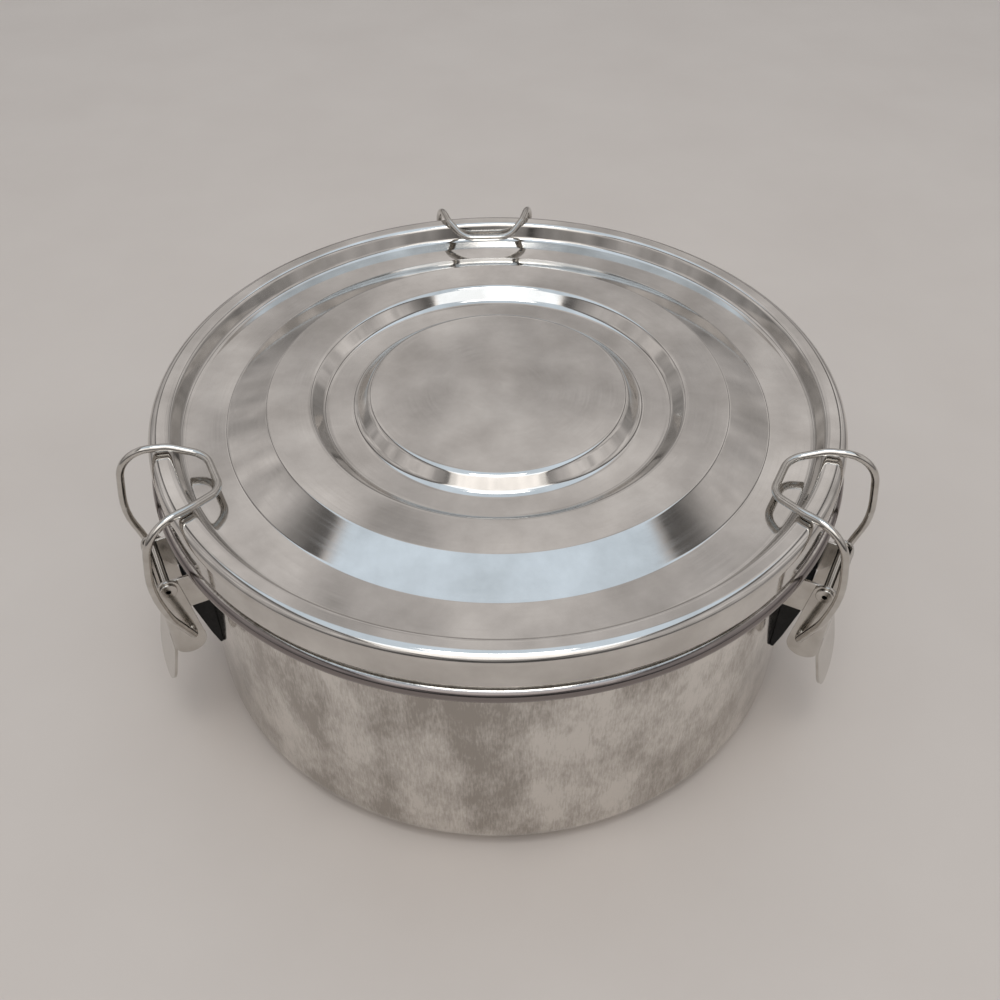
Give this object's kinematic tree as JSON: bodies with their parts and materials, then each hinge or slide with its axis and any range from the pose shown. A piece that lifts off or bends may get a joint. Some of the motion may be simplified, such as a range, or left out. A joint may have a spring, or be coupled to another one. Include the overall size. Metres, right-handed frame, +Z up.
{
  "type": "latched food container",
  "caption": "Round steel food container with a flat pressed lift-off lid held down by over-centre wire clips.",
  "frame": {"origin": "centre of the underside of the container's base", "axes": "+Z up along the container's axis; +Y towards the back clip, which stands 2.8 degrees to the left of it; +X to the right"},
  "size_m": [0.2053, 0.2072, 0.0945],
  "materials": {
    "body_steel": "polished stainless steel",
    "lid_steel": "satin stainless steel",
    "clip_steel": "polished stainless steel",
    "wire_steel": "bright drawn stainless wire",
    "pad_rubber": "matt black rubber",
    "seal_silicone": "matt silicone"
  },
  "bodies": {
    "container": {"body": "body_steel", "back_bracket": "clip_steel", "back_rest_pad": "pad_rubber", "back_hinge_rivet": "clip_steel", "left_bracket": "clip_steel", "left_rest_pad": "pad_rubber", "left_hinge_rivet": "clip_steel", "right_bracket": "clip_steel", "right_rest_pad": "pad_rubber", "right_hinge_rivet": "clip_steel"},
    "lid": {"lid": "lid_steel", "lid_gasket": "seal_silicone"},
    "back_lever": {"back_lever": "clip_steel"},
    "back_bail": {"back_bail": "wire_steel"},
    "left_lever": {"left_lever": "clip_steel"},
    "left_bail": {"left_bail": "wire_steel"},
    "right_lever": {"right_lever": "clip_steel"},
    "right_bail": {"right_bail": "wire_steel"}
  },
  "joints": [
    {"name": "lid_lift", "type": "slide", "parent": "container", "child": "lid", "axis": [0, 0, 1], "range_m": [0, 0.008]},
    {"name": "back_lever_turn", "type": "hinge", "parent": "container", "child": "back_lever", "pos_m": [-0.00498, 0.10178, 0.0648], "axis": [0.9988, 0.0489, 0], "range_deg": [0, 60]},
    {"name": "back_bail_turn", "type": "hinge", "parent": "back_lever", "child": "back_bail", "pos_m": [-0.00483, 0.09868, 0.0466], "axis": [-0.9988, -0.0489, 0], "range_deg": [0, 250]},
    {"name": "left_lever_turn", "type": "hinge", "parent": "container", "child": "left_lever", "pos_m": [-0.09159, -0.04467, 0.0648], "axis": [-0.4384, 0.8988, 0], "range_deg": [0, 60]},
    {"name": "left_bail_turn", "type": "hinge", "parent": "left_lever", "child": "left_bail", "pos_m": [-0.0888, -0.04331, 0.0466], "axis": [0.4384, -0.8988, 0], "range_deg": [0, 250]},
    {"name": "right_lever_turn", "type": "hinge", "parent": "container", "child": "right_lever", "pos_m": [0.09063, -0.04658, 0.0648], "axis": [-0.4571, -0.8894, 0], "range_deg": [0, 60]},
    {"name": "right_bail_turn", "type": "hinge", "parent": "right_lever", "child": "right_bail", "pos_m": [0.08787, -0.04516, 0.0466], "axis": [0.4571, 0.8894, 0], "range_deg": [0, 250]}
  ],
  "couplings": [
    {"joint": "back_lever_turn", "follows": "lid_lift", "rad_per_m": 130.8},
    {"joint": "back_bail_turn", "follows": "lid_lift", "rad_per_m": 545.4},
    {"joint": "left_lever_turn", "follows": "lid_lift", "rad_per_m": 130.8},
    {"joint": "left_bail_turn", "follows": "lid_lift", "rad_per_m": 545.4},
    {"joint": "right_lever_turn", "follows": "lid_lift", "rad_per_m": 130.8},
    {"joint": "right_bail_turn", "follows": "lid_lift", "rad_per_m": 545.4}
  ]
}
